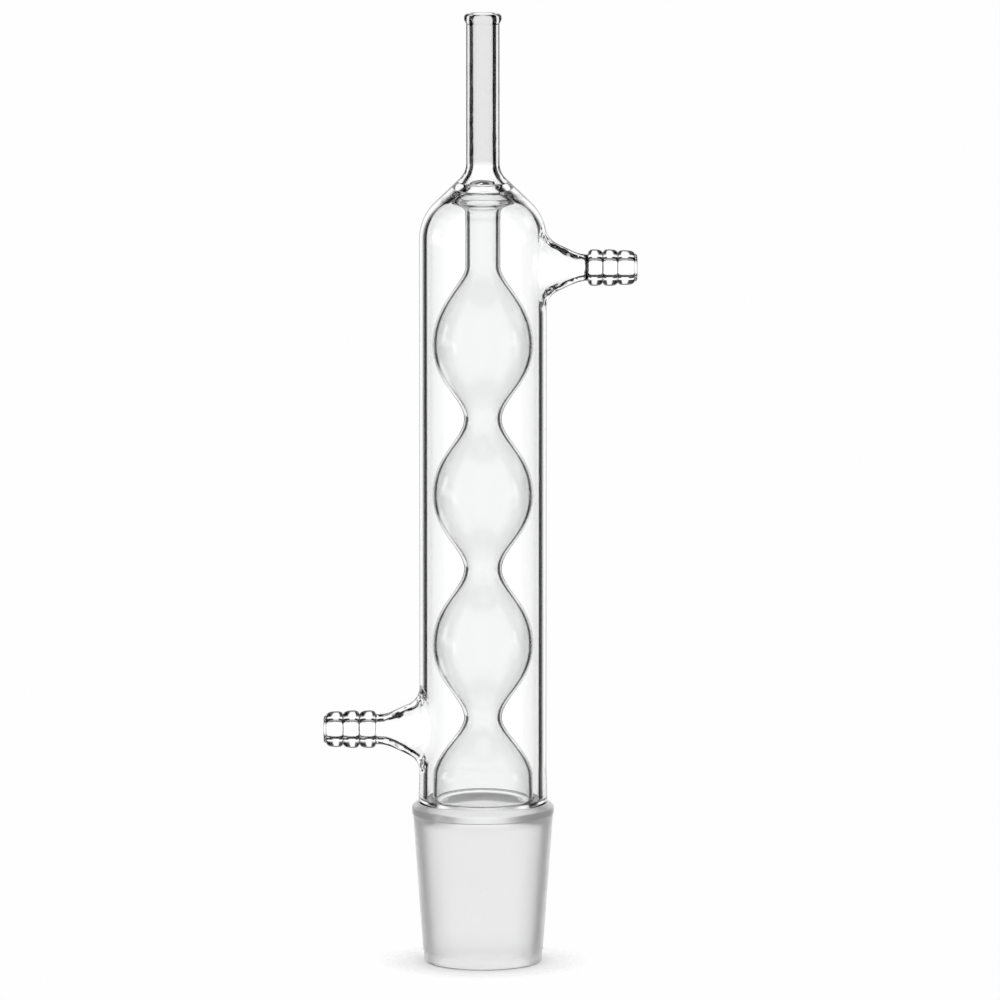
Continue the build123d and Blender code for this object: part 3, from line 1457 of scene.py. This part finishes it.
    def dress(self, glass: bpy.types.Object) -> None:
        """Gives the skin its finishes, two of them darker copies of the clear glass as painted shade,
        and the values that they read, one of them the width of the painted shade line.

        Args:
            glass: The skin.
        """
        # the rim values set the width of the painted shade line
        for name, value_at in ((EDGE_SHADE, self._edge_shade_at), (WORKED, self._worked_at)):
            values = [value_at(vertex.co / MM) for vertex in glass.data.vertices]
            glass.data.attributes.new(name, "FLOAT", "POINT").data.foreach_set("value", values)
        glass.data.materials.clear()
        finishes = {
            Finish.CLEAR: ClearGlass(),
            Finish.GROUND: GroundGlass(),
            # painted shade: the vent and the bulbs get darker copies of the clear glass
            Finish.VENT: ClearGlass("vent_shaded_glass", self.vent_shade_tint),
            Finish.BULB: ClearGlass("bulb_shaded_glass", self.bulb_shade_tint),
        }
        for finish in Finish:
            glass.data.materials.append(finishes[finish].build())
        for face in glass.data.polygons:
            face.material_index = self._finish_at(face.center / MM, face.normal).value


@dataclass(frozen=True)
class Window:
    """A bright field in the studio, in degrees: azimuth 0 is straight behind the object."""

    azimuth: float
    half_width: float
    low: float
    high: float
    brightness: float
    softness: float = 3.0


@dataclass
class Studio:
    """Bench, background, lights and camera."""

    aim: Place = (4.2, 0.0, 114.87)
    distance: float = 3000.0
    bench_radius: float = 40.0
    bench_drop: float = 0.1
    bench_tint: tuple = (0.97, 0.97, 0.97, 1.0)
    bench_fade: Point = (14.0, 27.0)
    bench_ring: Point = (11.0, 13.5)
    bench_inside: float = 0.35
    pitch: float = 8.0
    frame_width: float = 246.0
    paper_white: float = 0.991
    bench_light: float = 1.18
    dim: float = 0.004
    windows: tuple = (
        Window(0, 29, -38, 22, 1.16, 15.0),
        Window(0, 7, 15, 48, 1.1, 6.0),
        Window(0, 12, -62, -30, 1.1, 8.0),
        Window(180, 75, -60, 50, 0.75, 12.0),
        Window(-90, 22, -5.5, 3, 0.95),
        Window(-45, 24, -33, -17, 0.95),
        Window(0, 180, 62, 90, 0.9),
        Window(-80, 5, -2, 14, 2.2, 4.0),
        Window(101, 5, -2, 14, 2.2, 4.0),
    )

    def camera(self) -> None:
        """Adds the long-lens camera at the photograph's height and angle."""
        data = bpy.data.cameras.new("studio_camera")
        data.sensor_width = 36.0
        data.lens = data.sensor_width * self.distance / self.frame_width
        data.clip_start = 0.1
        data.clip_end = 50.0
        camera = bpy.data.objects.new("studio_camera", data)
        pitch = math.radians(self.pitch)
        back = Vector((0, -math.cos(pitch), math.sin(pitch))) * self.distance
        camera.location = (Vector(self.aim) + back) * MM
        camera.rotation_euler = (math.pi / 2 - pitch, 0, 0)
        bpy.context.scene.collection.objects.link(camera)
        bpy.context.scene.camera = camera

    def bench(self) -> None:
        """Adds the white bench under the glass, which fades into the background."""
        deselect_all()
        bpy.ops.mesh.primitive_circle_add(
            vertices=TURNS,
            radius=self.bench_radius * MM,
            fill_type="NGON",
            location=(0, 0, -self.bench_drop * MM),
        )
        bench = bpy.context.object
        bench.name = "bench"
        material = bpy.data.materials.new("white_bench")
        material.use_nodes = True
        tree = material.node_tree
        shader = tree.nodes["Principled BSDF"]
        shader.inputs["Base Color"].default_value = self.bench_tint
        shader.inputs["Roughness"].default_value = 1.0
        shader.inputs["Specular IOR Level"].default_value = 0.0
        place = tree.nodes.new("ShaderNodeTexCoord")
        length = tree.nodes.new("ShaderNodeVectorMath")
        length.operation = "LENGTH"
        tree.links.new(place.outputs["Object"], length.inputs[0])
        away = maths(tree, "DIVIDE", length.outputs["Value"], MM)
        inside = soft_step(tree, away, self.bench_ring, (self.bench_inside, 1.0))
        outside = soft_step(tree, away, self.bench_fade, (1.0, 0.0))
        tree.links.new(maths(tree, "MULTIPLY", inside, outside), shader.inputs["Alpha"])
        bench.data.materials.append(material)

    def _window_group(self) -> bpy.types.ShaderNodeTree:
        """A group that is 1 inside a window and falls softly to 0 at its edges.

        Returns:
            The group, with an output Field.
        """
        labels = ("Azimuth", "Elevation", "Turn", "Half Width", "Middle", "Half Height", "Softness")
        group, given, result = new_group("studio_window", dict.fromkeys(labels, 0.0), "Field")
        turned = maths(group, "SUBTRACT", given["Azimuth"], given["Turn"])
        away = maths(group, "WRAP", turned, 180.0, -180.0)
        over = maths(group, "SUBTRACT", given["Elevation"], given["Middle"])
        sides = []
        for distance, half in ((away, "Half Width"), (over, "Half Height")):
            inside = maths(group, "SUBTRACT", given[half], maths(group, "ABSOLUTE", distance))
            ratio = maths(group, "DIVIDE", inside, given["Softness"])
            sides.append(soft_step(group, ratio, (-0.5, 0.5)))
        group.links.new(maths(group, "MULTIPLY", *sides), result)
        return group

    def light(self) -> None:
        """Builds the studio as the world: dark, with bright windows, and plain white to the camera."""
        world = bpy.data.worlds.new("studio")
        bpy.context.scene.world = world
        world.use_nodes = True
        tree = world.node_tree
        place = tree.nodes.new("ShaderNodeTexCoord")
        split = tree.nodes.new("ShaderNodeSeparateXYZ")
        tree.links.new(place.outputs["Generated"], split.inputs[0])
        azimuth = maths(tree, "DEGREES", maths(tree, "ARCTAN2", split.outputs["X"], split.outputs["Y"]))
        elevation = maths(tree, "DEGREES", maths(tree, "ARCSINE", split.outputs["Z"]))
        group = self._window_group()
        level = self.dim
        for window in self.windows:
            node = place_group(
                tree,
                group,
                Azimuth=azimuth,
                Elevation=elevation,
                Turn=window.azimuth,
                Half_Width=window.half_width,
                Middle=(window.low + window.high) / 2,
                Half_Height=(window.high - window.low) / 2,
                Softness=window.softness,
            )
            bright = maths(tree, "MULTIPLY", node.outputs["Field"], window.brightness)
            level = maths(tree, "MAXIMUM", bright, level)
        ray = tree.nodes.new("ShaderNodeLightPath")
        for kind, value in (("Is Diffuse Ray", self.bench_light), ("Is Camera Ray", self.paper_white)):
            choose = tree.nodes.new("ShaderNodeMix")
            tree.links.new(ray.outputs[kind], choose.inputs["Factor"])
            tree.links.new(level, choose.inputs["A"])
            choose.inputs["B"].default_value = value
            level = choose.outputs["Result"]
        tree.links.new(level, tree.nodes["Background"].inputs["Color"])

    def settings(self) -> None:
        """Lets light pass through every layer of glass and keeps the tones plain."""
        scene = bpy.context.scene
        scene.cycles.max_bounces = 40
        scene.cycles.transmission_bounces = 36
        scene.cycles.glossy_bounces = 12
        scene.cycles.transparent_max_bounces = 16
        scene.view_settings.view_transform = "Standard"
        scene.view_settings.look = "None"


def main() -> None:
    """Builds the glass from the frame's box, then the studio round it."""
    logging.basicConfig(level=logging.INFO, format="%(name)s: %(message)s")
    low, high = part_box("glass_condenser")
    condenser = Condenser(tips=(-low.x / MM, high.x / MM), top=high.z / MM)
    glass = condenser.build()
    condenser.dress(glass)
    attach(glass, "root")
    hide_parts("glass_condenser")
    faces, gaps = len(glass.data.polygons), open_edges(glass)
    log.info("%s: %d faces, %d open edges", glass.name, faces, gaps)
    studio = Studio()
    studio.bench()
    studio.light()
    studio.camera()
    studio.settings()
    log.info("bench, lights and camera are in place")


if __name__ == "__main__":
    main()
